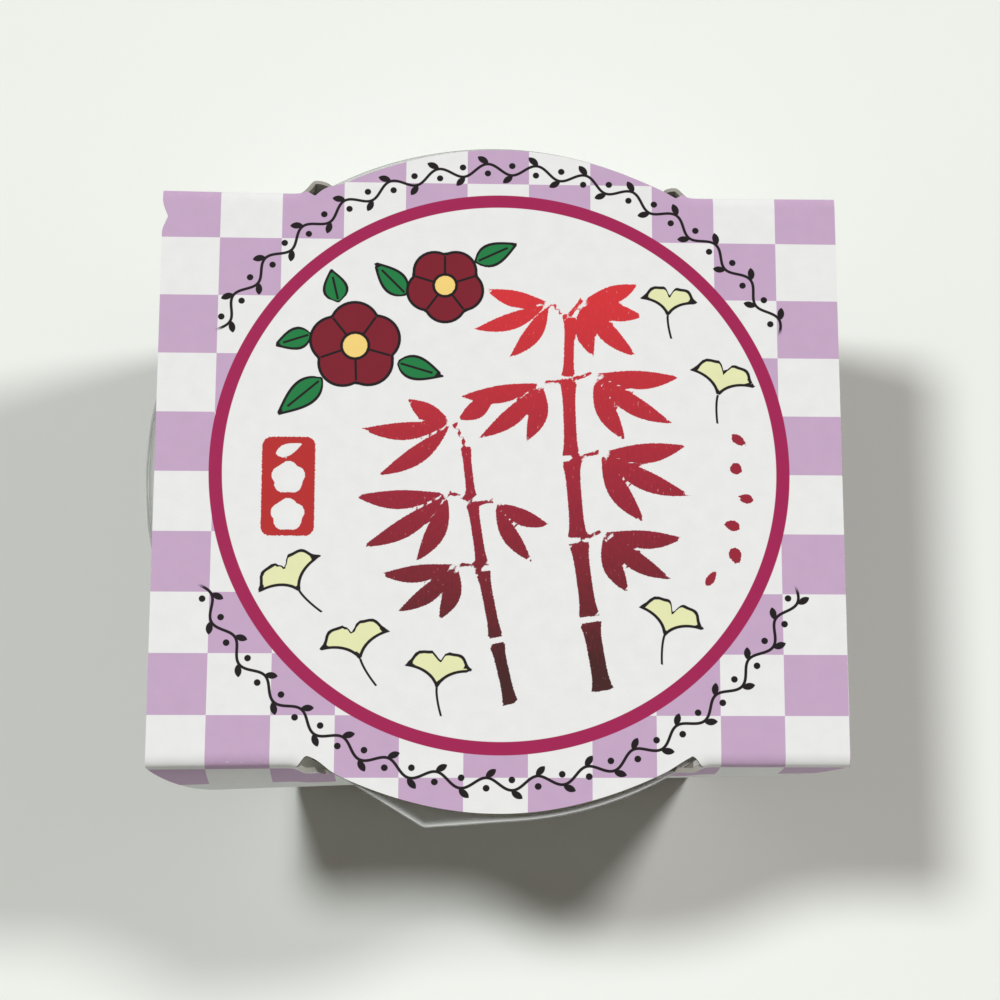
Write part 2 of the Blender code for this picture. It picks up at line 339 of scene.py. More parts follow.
@dataclass(frozen=True)
class Checks:
    """Two-colour checks over the whole printed face, counted from the sleeve's middle."""

    across: float = 6.4
    along: float = 6.292
    column_shift: float = 5.5
    row_shift: float = 5.0
    last_edge: float = 37.74
    soft: float = 0.01
    across_register: Triple = (-0.201, 0.0012, 0.0030)
    along_register: tuple[float, float, float, float] = (-0.109, -0.0008, -0.0049, -0.00016)

    def mask(self, x: Reading, y: Reading) -> Reading:
        """1 on each tinted check: where column and row number add up to an even number.

        The print is a little out of register with the box, by the sum of each register's
        numbers times 1, x, y and x * y.
        """
        first, by_x, by_y = self.across_register
        right = x - (x * by_x + y * by_y + first)
        first, by_x, by_y, by_both = self.along_register
        up = y - (x * by_x + y * by_y + x * y * by_both + first)
        column = (right / self.across + self.column_shift).floor()
        row = (self.row_shift - up / self.along).floor()
        odd = ((column + row) * 0.5).fraction() * 2.0
        printed = (abs(up) - self.last_edge).inside(self.soft)
        return (1.0 - odd) * printed


@dataclass(frozen=True)
class Ring:
    """The coloured ring and the white disc inside it."""

    centre: Point = (0.06, 0.38)
    outer: float = 29.56
    inner: float = 28.2
    soft: float = 0.04

    def polar(self, x: Reading, y: Reading) -> tuple[Reading, Reading, Reading]:
        """The distance from the ring's centre, and its parts across and along."""
        east, north = x - self.centre[0], y - self.centre[1]
        return (east * east + north * north).root(), east, north


@dataclass(frozen=True)
class Vine:
    """A running vine outside the ring: a wave with a leaf on each crest and a berry in each bow."""

    radius: float = 32.45
    waves: int = 40
    swing: float = 0.62
    line: float = 0.15
    berry_radius: float = 0.34
    berry_depth: float = 0.42
    leaf_root: Point = (-0.10, 0.70)
    leaf_tip: Point = (0.95, 1.50)
    leaf_half_width: float = 0.35
    top_reach: float = math.sin(math.radians(27.0))
    bottom_reach: float = math.sin(math.radians(22.5))
    end_soft: float = 0.01
    soft: float = 0.03

    def mask(self, distance: Reading, east: Reading, north: Reading) -> Reading:
        """1 on the vine.

        The wave is swing * sin(waves * angle) about the vine's radius. Each half wave is one
        cell with its own across and up axes, turned over in every second cell, so that the
        leaf and the berry are worked out once.

        Args:
            distance: Millimetres from the ring's centre.
            east: The part of it across the board.
            north: The part of it along the board.

        Returns:
            The mask, from 0 to 1.
        """
        angle = north.angle_over(east)
        turn = angle * float(self.waves)
        up = distance - self.radius
        slope = turn.cosine() * (self.swing * self.waves / self.radius)
        stem = abs(up - turn.sine() * self.swing) / (slope * slope + 1.0).root() - self.line
        half = turn / math.pi
        cell_width = math.pi * self.radius / self.waves
        across = (half.fraction() - 0.5) * cell_width
        flip = 1.0 - (half.floor() * 0.5).fraction() * 4.0
        raised = up * flip
        berry = self._length(across, raised, (0.0, -self.berry_depth)) - self.berry_radius
        leaf = self._lens(across, raised)
        inked = stem.least(berry).least(leaf).inside(self.soft)
        north_share = north / distance
        top = (self.top_reach - north_share).inside(self.end_soft)
        bottom = (self.bottom_reach + north_share).inside(self.end_soft)
        return inked * top.most(bottom)

    @staticmethod
    def _length(across: Reading, up: Reading, centre: Point) -> Reading:
        """The distance from a point of the cell."""
        first, second = across - centre[0], up - centre[1]
        return (first * first + second * second).root()

    def _lens(self, across: Reading, up: Reading) -> Reading:
        """The signed distance to the leaf: what two equal circles through both tips share."""
        root, tip = np.array(self.leaf_root), np.array(self.leaf_tip)
        half_chord = float(np.linalg.norm(tip - root)) / 2
        radius = (half_chord**2 + self.leaf_half_width**2) / (2 * self.leaf_half_width)
        along = (tip - root) / (2 * half_chord)
        shift = np.array([-along[1], along[0]]) * (radius - self.leaf_half_width)
        middle = (root + tip) / 2
        sides = [self._length(across, up, tuple(middle + s * shift)) for s in (1.0, -1.0)]
        return sides[0].most(sides[1]) - radius


class Plate(Enum):
    """Fields of the drawn motifs, each held by the mesh as a signed distance in millimetres."""

    BAMBOO = "plate_bamboo"
    PETALS = "plate_petals"
    SEAL = "plate_seal"
    SEAL_FLOWER = "plate_seal_flower"
    GINKGO = "plate_ginkgo"
    LEAVES = "plate_leaves"
    CAMELLIA = "plate_camellia"
    HEART = "plate_heart"
    LINE_OFFSET = "line_offset"
    LINE_REACH = "line_reach"


def least(fields: Sequence[Grid]) -> Grid:
    """The signed distance to several motifs: the smallest of their distances."""
    return np.minimum.reduce(fields)


def turned(x: Grid, y: Grid, centre: Point, angle: float) -> tuple[Grid, Grid]:
    """Coordinates of points in axes that stand at a centre, turned by an angle."""
    east, north = x - centre[0], y - centre[1]
    cos, sin = math.cos(angle), math.sin(angle)
    return east * cos + north * sin, north * cos - east * sin


def along_line(x: Grid, y: Grid, start: Point, end: Point) -> tuple[Grid, Grid, float]:
    """The share of the way from start to end, the offset to the left of it, and its length."""
    length = math.dist(start, end)
    angle = math.atan2(end[1] - start[1], end[0] - start[0])
    forward, left = turned(x, y, start, angle)
    return forward / length, left, length


def leaf_field(
    x: Grid,
    y: Grid,
    start: Point,
    end: Point,
    width: float,
    bend: float = 0.0,
    lean: float = 0.7,
) -> Grid:
    """Signed distance to a brushed leaf.

    The leaf follows a line bent by 4 * bend * t * (1 - t), and is width * sin(pi * t ** lean)
    wide, so that it comes to a point at both ends.

    Args:
        x, y: The points, in millimetres.
        start, end: The leaf's two tips.
        width: Its greatest width.
        bend: How far its middle is off the straight line.
        lean: Below 1 it is widest before its middle, above 1 after it.

    Returns:
        The distance, below zero inside.
    """
    share, left, length = along_line(x, y, start, end)
    held = np.clip(share, 0, 1)
    half = 0.5 * width * np.sin(math.pi * held**lean)
    off = np.abs(left - 4 * bend * held * (1 - held))
    past = np.abs(share - held) * length
    return np.where(past > 0, np.hypot(past, off), off - half)


def stalk_field(x: Grid, y: Grid, start: Point, end: Point, width: float) -> Grid:
    """Signed distance to one joint of a stalk, whose blunt ends are a quarter wider."""
    share, left, length = along_line(x, y, start, end)
    half = 0.5 * width * (0.85 + 0.4 * (2 * np.clip(share, 0, 1) - 1) ** 4)
    return np.maximum(np.abs(left) - half, (np.abs(share - 0.5) - 0.5) * length)


def disc_field(x: Grid, y: Grid, centre: Point, radius: float) -> Grid:
    """Signed distance to a disc."""
    return np.hypot(x - centre[0], y - centre[1]) - radius


def box_field(x: Grid, y: Grid, centre: Point, half: Point, corner: float) -> Grid:
    """Signed distance to a box with rounded corners."""
    wide = np.abs(x - centre[0]) - half[0] + corner
    high = np.abs(y - centre[1]) - half[1] + corner
    outside = np.hypot(np.maximum(wide, 0), np.maximum(high, 0))
    return outside + np.minimum(np.maximum(wide, high), 0) - corner


@dataclass(frozen=True)
class Flower:
    """A round flower of equal petals."""

    centre: Point
    radius: float
    turn: float
    petals: int = 5
    petal_share: float = 0.53
    heart_share: float = 0.30
    seam_share: float = 0.80
    seam_half: float = 0.5

    def outline(self, x: Grid, y: Grid) -> Grid:
        """Signed distance to the petals, each a disc whose far side touches the flower's radius."""
        petal = self.radius * self.petal_share
        angles = self.turn + 2 * math.pi * np.arange(self.petals) / self.petals
        middles = np.array(self.centre) + (self.radius - petal) * np.column_stack(
            [np.cos(angles), np.sin(angles)]
        )
        return least([disc_field(x, y, tuple(middle), petal) for middle in middles])

    def heart(self, x: Grid, y: Grid) -> Grid:
        """Signed distance to the round heart."""
        return disc_field(x, y, self.centre, self.radius * self.heart_share)

    def seams(self, x: Grid, y: Grid) -> tuple[Grid, Grid]:
        """The lines between petals: offset from the nearest one, and how far past its reach."""
        east, north = turned(x, y, self.centre, self.turn + math.pi / self.petals)
        step = 2 * math.pi / self.petals
        angle = np.arctan2(north, east)
        folded = angle - step * np.round(angle / step)
        distance = np.hypot(east, north)
        offset = distance * np.sin(folded)
        low, high = self.radius * self.heart_share, self.radius * self.seam_share
        beside = np.abs(offset) - self.seam_half
        reach = np.maximum.reduce([beside, low - distance, distance - high])
        return offset, reach


@dataclass(frozen=True)
class Ginkgo:
    """A fan-shaped leaf with one notch and a thin stem, standing on its stem's joint."""

    centre: Point
    turn: float
    size: float = 4.6
    opening: float = 1.02
    notch: float = 0.38

    def outline(self, x: Grid, y: Grid) -> Grid:
        """Signed distance to the fan.

        Its outer edge is size * (1 + 0.04 * cos(11 * angle)) with a bell-shaped notch at the
        middle, and its sides open as the 0.6th power of the distance from the joint.
        """
        across, up = turned(x, y, self.centre, self.turn)
        distance = np.hypot(across, up)
        angle = np.arctan2(across, up)
        edge = self.size * (1 + 0.04 * np.cos(11 * angle))
        edge = edge * (1 - self.notch * np.exp(-((angle / 0.13) ** 2)))
        opening = self.opening * np.clip(distance / self.size, 0.02, 1) ** 0.6
        sides = (np.abs(angle) - opening) * distance
        return np.maximum(distance - edge, sides) * 0.92

    def stem(self, x: Grid, y: Grid) -> tuple[Grid, Grid]:
        """The stem's line: its offset and how far past its reach."""
        across, up = turned(x, y, self.centre, self.turn)
        offset = across - 0.16 * np.clip(-up, 0, None) ** 1.5
        reach = np.maximum(np.abs(offset) - 0.6, np.abs(up + 0.34 * self.size) - 0.38 * self.size)
        return offset, reach


@dataclass(frozen=True)
class Leaf:
    """A pointed green leaf with a midrib."""

    start: Point
    end: Point
    width: float = 2.5

    def outline(self, x: Grid, y: Grid) -> Grid:
        """Signed distance to the leaf."""
        return leaf_field(x, y, self.start, self.end, self.width)

    def rib(self, x: Grid, y: Grid) -> tuple[Grid, Grid]:
        """The midrib's line: its offset and how far past its reach."""
        share, left, length = along_line(x, y, self.start, self.end)
        reach = np.maximum(np.abs(left) - 0.5, (np.abs(share - 0.42) - 0.36) * length)
        return left, reach


@dataclass(frozen=True)
class Spray:
    """A tuft of brushed bamboo leaves that hang from the end of one twig."""

    root: Point
    joint: Point
    leaves: tuple[tuple[float, float], ...]
    width: float = 1.9
    twig: float = 0.45

    def field(self, x: Grid, y: Grid) -> Grid:
        """Signed distance to the tuft, whose leaves are (heading in degrees, length) pairs."""
        fields = [stalk_field(x, y, self.root, self.joint, self.twig)]
        for heading, length in self.leaves:
            way = np.array([math.cos(math.radians(heading)), math.sin(math.radians(heading))])
            start = np.array(self.joint) + 0.5 * way
            end = np.array(self.joint) + length * way
            bend = math.copysign(0.06 * length, -way[0])
            fields.append(leaf_field(x, y, tuple(start), tuple(end), self.width, bend, 1.0))
        return least(fields)


@dataclass(frozen=True)
class Drawing:
    """The motifs inside the ring: bamboo, camellias, ginkgo leaves, drifting petals and a seal."""

    stalks: tuple[tuple[Point, Point, float], ...] = (
        ((10.4, -22.6), (9.2, -15.6), 1.9),
        ((9.1, -15.0), (8.1, -7.4), 1.8),
        ((8.0, -6.8), (7.4, 1.2), 1.7),
        ((7.35, 1.8), (7.1, 9.6), 1.5),
        ((7.1, 10.2), (7.3, 16.6), 1.2),
        ((1.2, -24.0), (-0.2, -17.8), 1.4),
        ((-0.3, -17.2), (-1.6, -10.4), 1.3),
        ((-1.7, -9.8), (-2.7, -3.2), 1.2),
        ((-2.8, -2.7), (-3.4, 2.6), 1.0),
    )
    sprays: tuple[Spray, ...] = (
        Spray((7.3, 16.9), (8.6, 18.6), ((16, 6.0), (-16, 6.6), (-48, 8.4), (-80, 6.4)), 1.9),
        Spray((7.1, 16.2), (5.4, 18.2), ((168, 7.0), (200, 8.6), (234, 7.4)), 1.8),
        Spray((7.2, 9.8), (9.6, 10.6), ((-2, 9.0), (-33, 9.8), (-65, 8.0)), 2.0),
        Spray((7.2, 9.6), (4.6, 9.6), ((190, 8.8), (222, 9.0), (254, 6.6)), 1.9),
        Spray((7.5, 1.4), (10.2, 2.2), ((5, 9.0), (-26, 10.4), (-58, 8.8)), 2.1),
        Spray((-3.4, 2.8), (-4.6, 5.2), ((38, 5.0), (152, 5.4), (184, 9.6), (216, 9.6)), 1.9),
        Spray((-2.8, -3.0), (-5.0, -2.2), ((182, 9.8), (213, 10.6), (245, 8.0)), 2.0),
        Spray((8.1, -7.0), (10.4, -6.2), ((-4, 8.4), (-35, 8.6), (-67, 7.0)), 1.9),
        Spray((-1.7, -10.1), (-4.0, -9.6), ((188, 8.2), (219, 8.0), (251, 6.2)), 1.8),
        Spray((-2.7, -3.4), (-0.6, -3.0), ((-24, 6.4), (-58, 7.6)), 1.7),
    )
    camellias: tuple[Flower, ...] = (
        Flower((-14.8, 13.4), 4.7, 0.35),
        Flower((-5.6, 20.0), 4.0, 0.95),
    )
    leaves: tuple[Leaf, ...] = (
        Leaf((-18.2, 9.8), (-22.6, 6.0), 2.6),
        Leaf((-19.4, 14.6), (-23.0, 13.4), 2.2),
        Leaf((-16.6, 18.2), (-17.4, 21.6), 2.4),
        Leaf((-10.4, 11.6), (-5.8, 10.2), 2.4),
        Leaf((-9.6, 19.0), (-12.9, 22.4), 2.4),
        Leaf((-2.4, 22.6), (1.8, 24.6), 2.3),
    )
    ginkgos: tuple[Ginkgo, ...] = (
        Ginkgo((-20.0, -12.6), 0.55, 4.1),
        Ginkgo((-13.8, -19.6), 0.28, 4.1),
        Ginkgo((-6.2, -22.4), -0.10, 3.9),
        Ginkgo((16.6, -17.0), -0.35, 3.9),
        Ginkgo((22.4, 8.2), -0.28, 3.9),
        Ginkgo((17.4, 16.8), -0.10, 3.3),
    )
    seal_centre: Point = (-21.4, -1.6)
    seal_half: Point = (2.7, 5.2)
    seal_corner: float = 0.9
    seal_flower_lifts: Point = (-3.0, 0.9)
    seal_flower_radius: float = 1.75
    petal_count: int = 6
    petal_radius: float = 24.6
    petal_span: tuple[float, float] = (8.0, -27.0)
    seed: int = 7

    def drifting_petals(self) -> list[tuple[Point, Point, float]]:
        """Small petals on an arc inside the ring, turned at random."""
        draw = np.random.default_rng(self.seed)
        petals = []
        for angle in np.radians(np.linspace(*self.petal_span, self.petal_count)):
            radius = self.petal_radius + draw.uniform(-0.9, 0.9)
            middle = radius * np.array([math.cos(angle), math.sin(angle)])
            heading = draw.uniform(0, 2 * math.pi)
            arm = draw.uniform(0.8, 1.15) * np.array([math.cos(heading), math.sin(heading)])
            petals.append((tuple(middle - arm), tuple(middle + arm), draw.uniform(0.9, 1.3)))
        return petals

    def plates(self, x: Grid, y: Grid) -> dict[Plate, Grid]:
        """Works out every field at the given points.

        Args:
            x, y: Points of the flat pattern, in millimetres.

        Returns:
            One array for each plate.
        """
        across, along = self.seal_centre
        radius = self.seal_flower_radius
        in_seal = [Flower((across, along + up), radius, 0.31) for up in self.seal_flower_lifts]
        in_seal.append(Leaf((across - 1.3, along + 3.3), (across + 1.4, along + 4.5), 1.3))
        bamboo = [stalk_field(x, y, *stalk) for stalk in self.stalks]
        bamboo += [spray.field(x, y) for spray in self.sprays]
        lines = [motif.seams(x, y) for motif in self.camellias]
        lines += [motif.stem(x, y) for motif in self.ginkgos]
        lines += [motif.rib(x, y) for motif in self.leaves]
        offsets, reaches = np.array(lines).transpose(1, 0, 2)
        nearest = reaches.argmin(axis=0)
        column = np.arange(len(x))
        return {
            Plate.BAMBOO: least(bamboo),
            Plate.PETALS: least([leaf_field(x, y, *petal) for petal in self.drifting_petals()]),
            Plate.SEAL: box_field(x, y, self.seal_centre, self.seal_half, self.seal_corner),
            Plate.SEAL_FLOWER: least([motif.outline(x, y) for motif in in_seal]),
            Plate.GINKGO: least([motif.outline(x, y) for motif in self.ginkgos]),
            Plate.LEAVES: least([motif.outline(x, y) for motif in self.leaves]),
            Plate.CAMELLIA: least([motif.outline(x, y) for motif in self.camellias]),
            Plate.HEART: least([motif.heart(x, y) for motif in self.camellias]),
            Plate.LINE_OFFSET: offsets[nearest, column],
            Plate.LINE_REACH: reaches[nearest, column],
        }


# Finishes


@dataclass(frozen=True)
class PrintedBoard(Finish):
    """White coated board with its print, a matt varnish and worn folds."""

    name: str = "board_print"
    checks: Checks = Checks()
    ring: Ring = Ring()
    vine: Vine = Vine()
    contour: float = 0.15
    soft: float = 0.035
    rag: float = 0.22
    brush_top: float = 21.0
    brush_bottom: float = -20.0
    brush_stops: tuple[tuple[float, Ink], ...] = ((0.0, Ink.UMBER), (0.42, Ink.WINE), (0.95, Ink.RED))
    dry: float = 0.45
    fold_line: float = 30.0
    tongue_half: float = 20.3
    worn: tuple[int, int, int] = (232, 230, 230)
    wear: float = 0.4
    relief: float = 0.00002

    def dress(self, desk: Desk) -> bpy.types.Node:
        """Lays the inks over the board one after the other, from the ground up.

        Returns:
            The Principled shader.
        """
        spot = desk.node("ShaderNodeAttribute", {"attribute_name": "pattern"}).outputs["Vector"]
        split = desk.node("ShaderNodeSeparateXYZ", None, {0: spot})
        x, y = (Reading(desk, socket) for socket in split.outputs[:2])
        cloud = desk.noise(spot, 0.55, 3.0)
        grain = desk.noise(spot, 5.5, 3.0, 0.6)
        distance, east, north = self.ring.polar(x, y)

        colour = desk.over(Ink.BOARD.linear, Ink.LILAC.linear, self.checks.mask(x, y))
        colour = desk.over(colour, Ink.BLACK.linear, self.vine.mask(distance, east, north))
        ring = (distance - self.ring.outer).inside(self.ring.soft)
        disc = (distance - self.ring.inner).inside(self.ring.soft)
        colour = desk.over(colour, Ink.MAGENTA.linear, ring)
        colour = desk.over(colour, Ink.BOARD.linear, disc)
        colour = self._draw(desk, colour, y, spot, grain)

        tone = (cloud - 0.5) * 0.10 + (grain - 0.5) * 0.07 + 1.0
        colour = desk.shaded(colour, tone)
        colour = desk.over(colour, linear(self.worn), self._wear(desk, x, y, spot) * self.wear)

        fibre = desk.noise(spot, 14.0, 4.0, 0.65)
        return desk.principled(
            {
                "Base Color": colour,
                "Roughness": grain * 0.16 + 0.50,
                "Specular IOR Level": 0.18,
                "Normal": desk.bumped(fibre * 0.7 + grain * 0.3, 0.25, self.relief),
            }
        )

    def _draw(self, desk: Desk, colour: Any, y: Reading, spot: Any, grain: Reading) -> Any:
        """Prints the motifs inside the ring."""
        fields = {plate: desk.attribute(plate.value) for plate in Plate}
        ragged = (grain - 0.5) * self.rag
        streaks = desk.noise(desk.stretched(spot, (1.6, 0.5, 1.0)), 2.6, 3.0, 0.7)
        share = (y - self.brush_bottom) / (self.brush_top - self.brush_bottom)
        stops = [(position, ink.linear) for position, ink in self.brush_stops]
        brush = desk.node("ShaderNodeValToRGB", {"stops": stops}, {0: share + (streaks - 0.5) * 0.3})
        dry = streaks.rising(0.66, 0.74) * self.dry
        bamboo = (fields[Plate.BAMBOO] + ragged).inside(self.soft)
        colour = desk.over(colour, brush.outputs["Color"], bamboo * (1.0 - dry))
        petals = (fields[Plate.PETALS] + ragged).inside(self.soft)
        colour = desk.over(colour, Ink.WINE.linear, petals)

        seal = (fields[Plate.SEAL] + ragged * 1.4).inside(self.soft)
        flower = (fields[Plate.SEAL_FLOWER] + ragged * 0.7).inside(self.soft)
        colour = desk.over(colour, Ink.BRICK.linear, seal * (1.0 - flower))

        for plate, ink in (
            (Plate.GINKGO, Ink.CELADON),
            (Plate.LEAVES, Ink.LEAF),
            (Plate.CAMELLIA, Ink.CLARET),
            (Plate.HEART, Ink.STAMEN),
        ):
            filled = fields[plate].inside(self.soft)
            contour = (abs(fields[plate]) - self.contour).inside(self.soft)
            colour = desk.over(colour, ink.linear, filled)
            colour = desk.over(colour, Ink.BLACK.linear, contour)
        line = (abs(fields[Plate.LINE_OFFSET]) - self.contour * 0.8).inside(self.soft)
        line = line * fields[Plate.LINE_REACH].inside(self.soft)
        return desk.over(colour, Ink.BLACK.linear, line)

    def _wear(self, desk: Desk, x: Reading, y: Reading, spot: Any) -> Reading:
        """Where the ink has cracked along the two top folds, outside the tongues."""
        near = (abs(abs(y) - self.fold_line) - 0.25).inside(0.35)
        outside = (self.tongue_half - abs(x)).inside(0.3)
        flakes = desk.noise(desk.stretched(spot, (1.0, 2.6, 1.0)), 1.7, 4.0, 0.75)
        return near * outside * flakes.rising(0.56, 0.66)


@dataclass(frozen=True)
class RawBoard(Finish):
    """The uncoated inside and the cut edges of the board, in a grey duplex tone that is also darkened
    as painted shade for the dark gaps at the hooks.
    """

    name: str = "board_inside_grey_and_shade"
    # Grey board tone, kept darker to paint the shade seen through the hooks' holes.
    tint: tuple[int, int, int] = (160, 158, 148)
    relief: float = 0.00003

    def dress(self, desk: Desk) -> bpy.types.Node:
        """Short fibres and soft clouds over one tint."""
        spot = desk.spot()
        cloud = desk.noise(spot, 260.0, 3.0)
        fibre = desk.noise(desk.stretched(spot, (1.0, 0.35, 1.0)), 5200.0, 3.0, 0.7)
        tone = (cloud - 0.5) * 0.10 + (fibre - 0.5) * 0.16 + 1.0
        return desk.principled(
            {
                "Base Color": desk.shaded(linear(self.tint), tone),
                "Roughness": fibre * 0.12 + 0.74,
                "Specular IOR Level": 0.2,
                "Normal": desk.bumped(fibre, 0.4, self.relief),
            }
        )


@dataclass(frozen=True)
class ClearPlastic(Finish):
    """Clear glossy plastic: see-through, with mirror-like glints, and a painted pale highlight that
    grows towards its cut edges by the rim mask.
    """

    name: str = "cup_plastic"
    tint: Triple = (0.99, 0.995, 0.99)
    haze: Triple = (0.14, 0.145, 0.14)
    # Pale colour painted into the cut edges as a highlight, laid in by the rim's mask.
    glint_white: Triple = (0.88, 0.90, 0.90)
    bending: float = 1.49
    gloss: float = 0.65
    # rim: how much the painted edge highlight adds to the gloss share.
    rim: float = 0.34
    rough: float = 0.06
    ripple: float = 0.00006

    def dress(self, desk: Desk) -> bpy.types.Node:
        """Mixes a clear film with a bright gloss by the angle of view, and by the rim's mask, which
        paints a pale highlight along the cut edges.
        """
        spot = desk.spot()
        wave = desk.noise(spot, 190.0, 2.0, 0.5)
        normal = desk.bumped(wave, 0.5, self.ripple)
        inputs = {"IOR": self.bending, "Normal": normal}
        facing = desk.number("ShaderNodeFresnel", "Fac", None, inputs)
        # The rim's mask paints a pale highlight into the cut edges: more gloss share and a whiter base
        # colour.
        rim = desk.attribute("rim")
        share = (facing * self.gloss + rim * self.rim).clamped()
        clear = desk.node("ShaderNodeBsdfTransparent", None, {"Color": (*self.tint, 1.0)})
        gloss = desk.principled(
            {
                "Base Color": desk.over((*self.haze, 1.0), (*self.glint_white, 1.0), rim),
                "Roughness": wave * 0.06 + self.rough,
                "Specular IOR Level": 1.0,
                "Normal": normal,
            }
        )
        inputs = {0: share, 1: clear.outputs[0], 2: gloss.outputs[0]}
        return desk.node("ShaderNodeMixShader", None, inputs)


@dataclass(frozen=True)
class WineYokan(Finish):
    """Dark wine-coloured set bean paste, dense, smooth and moist."""

    name: str = "yokan_paste"
    deep: tuple[int, int, int] = (58, 14, 20)
    light: tuple[int, int, int] = (92, 24, 30)
    relief: float = 0.00012

    def dress(self, desk: Desk) -> bpy.types.Node:
        """Fine specks of paste in a glossy dark jelly whose face swells a little."""
        spot = desk.spot()
        cloud = desk.noise(spot, 150.0, 3.0)
        swell = desk.noise(spot, 110.0, 0.0)
        speck = desk.noise(spot, 2600.0, 2.0, 0.6)
        shade = (cloud * 0.6 + speck.rising(0.52, 0.70) * 0.4).clamped()
        return desk.principled(
            {
                "Base Color": desk.over(linear(self.deep), linear(self.light), shade),
                "Roughness": swell * 0.06 + 0.22,
                "Specular IOR Level": 0.4,
                "Coat Weight": 0.25,
                "Coat Roughness": 0.10,
                "Normal": desk.bumped(swell, 0.3, self.relief),
            }
        )


@dataclass(frozen=True)
class PaleFloor(Finish):
    """A plain pale tabletop."""

    name: str = "table_top"
    tint: Triple = (0.795, 0.825, 0.792)

    def dress(self, desk: Desk) -> bpy.types.Node:
        """A matt tint with the faintest clouding."""
        spot = desk.spot()
        tone = (desk.noise(spot, 14.0, 2.0) - 0.5) * 0.03 + 1.0
        return desk.principled(
            {
                "Base Color": desk.shaded((*self.tint, 1.0), tone),
                "Roughness": tone * 0.85,
                "Specular IOR Level": 0.1,
            }
        )


# Meshes


def grid_faces(rows: int, columns: int, closed: bool = False) -> Grid:
    """The quads of a grid whose points are listed row by row.

    Args:
        rows: How many rows of points there are.
        columns: How many points a row has.
        closed: Whether each row's last point is joined to its first.

    Returns:
        An array of four point numbers a face.
    """
    row = np.arange(rows - 1)[:, None] * columns
    column = np.arange(columns if closed else columns - 1)[None, :]
    after = (column + 1) % columns
    quads = [row + column, row + after, row + columns + after, row + columns + column]
    return np.stack(quads, axis=-1).reshape(-1, 4)


def make_object(
    name: str,
    points: Grid,
    faces: Grid,
    values: Mapping[str, Grid],
    finishes: Sequence[Finish],
) -> bpy.types.Object:
    """Makes an object at the origin from points in millimetres.

    Points that lie on each other are welded, which also closes seams and poles.

    Args:
        name: The object's name.
        points: One row of x, y and z for each point.
        faces: Four point numbers for each face.
        values: Numbers, or rows of three, that each point holds under a name.
        finishes: The finishes of its material slots, in order.

    Returns:
        The object, linked to the scene.
    """
    mesh = bpy.data.meshes.new(name)
    mesh.from_pydata(points * MM, [], faces.tolist())
    for label, held in values.items():
        kind, key = ("FLOAT_VECTOR", "vector") if held.ndim == 2 else ("FLOAT", "value")
        layer = mesh.attributes.new(label, kind, "POINT")
        layer.data.foreach_set(key, held.astype(np.float32).ravel())
    shape = bmesh.new()
    shape.from_mesh(mesh)
    bmesh.ops.remove_doubles(shape, verts=shape.verts, dist=WELD)
    bmesh.ops.dissolve_degenerate(shape, edges=shape.edges, dist=SLIVER)
    shape.to_mesh(mesh)
    shape.free()
    mesh.shade_smooth()
    for finish in finishes:
        mesh.materials.append(finish.material())
    made = bpy.data.objects.new(name, mesh)
    bpy.context.scene.collection.objects.link(made)
    return made


def settle(made: bpy.types.Object) -> None:
    """Turns an object's modifiers into its mesh, and keeps its folds' edges sharp."""
    graph = bpy.context.evaluated_depsgraph_get()
    old = made.data
    made.data = bpy.data.meshes.new_from_object(
        made.evaluated_get(graph), preserve_all_data_layers=True, depsgraph=graph
    )
    made.modifiers.clear()
    bpy.data.meshes.remove(old)
    made.data.name = made.name
    made.data.set_sharp_from_angle(angle=FOLD_ANGLE)


def smooth_step(value: Grid) -> Grid:
    """3t^2 - 2t^3 of a value held between 0 and 1."""
    held = np.clip(value, 0, 1)
    return held * held * (3 - 2 * held)


# The sleeve


@dataclass(frozen=True)
class Hook:
    """Where a tongue's cut ends: it runs in past the fold to an apex and turns back to the fold.

    side is -1 at the front and 1 at the back, and hand is -1 at the left and 1 at the right.
    apex, end and ear_end are distances from the middle, dip is how far the cut leaves the
    tongue's circle, and push is how far the panel stands out beside it.
    """

    side: int
    hand: int
    apex: float
    end: float
    dip: float
    ear_end: float
    push: float


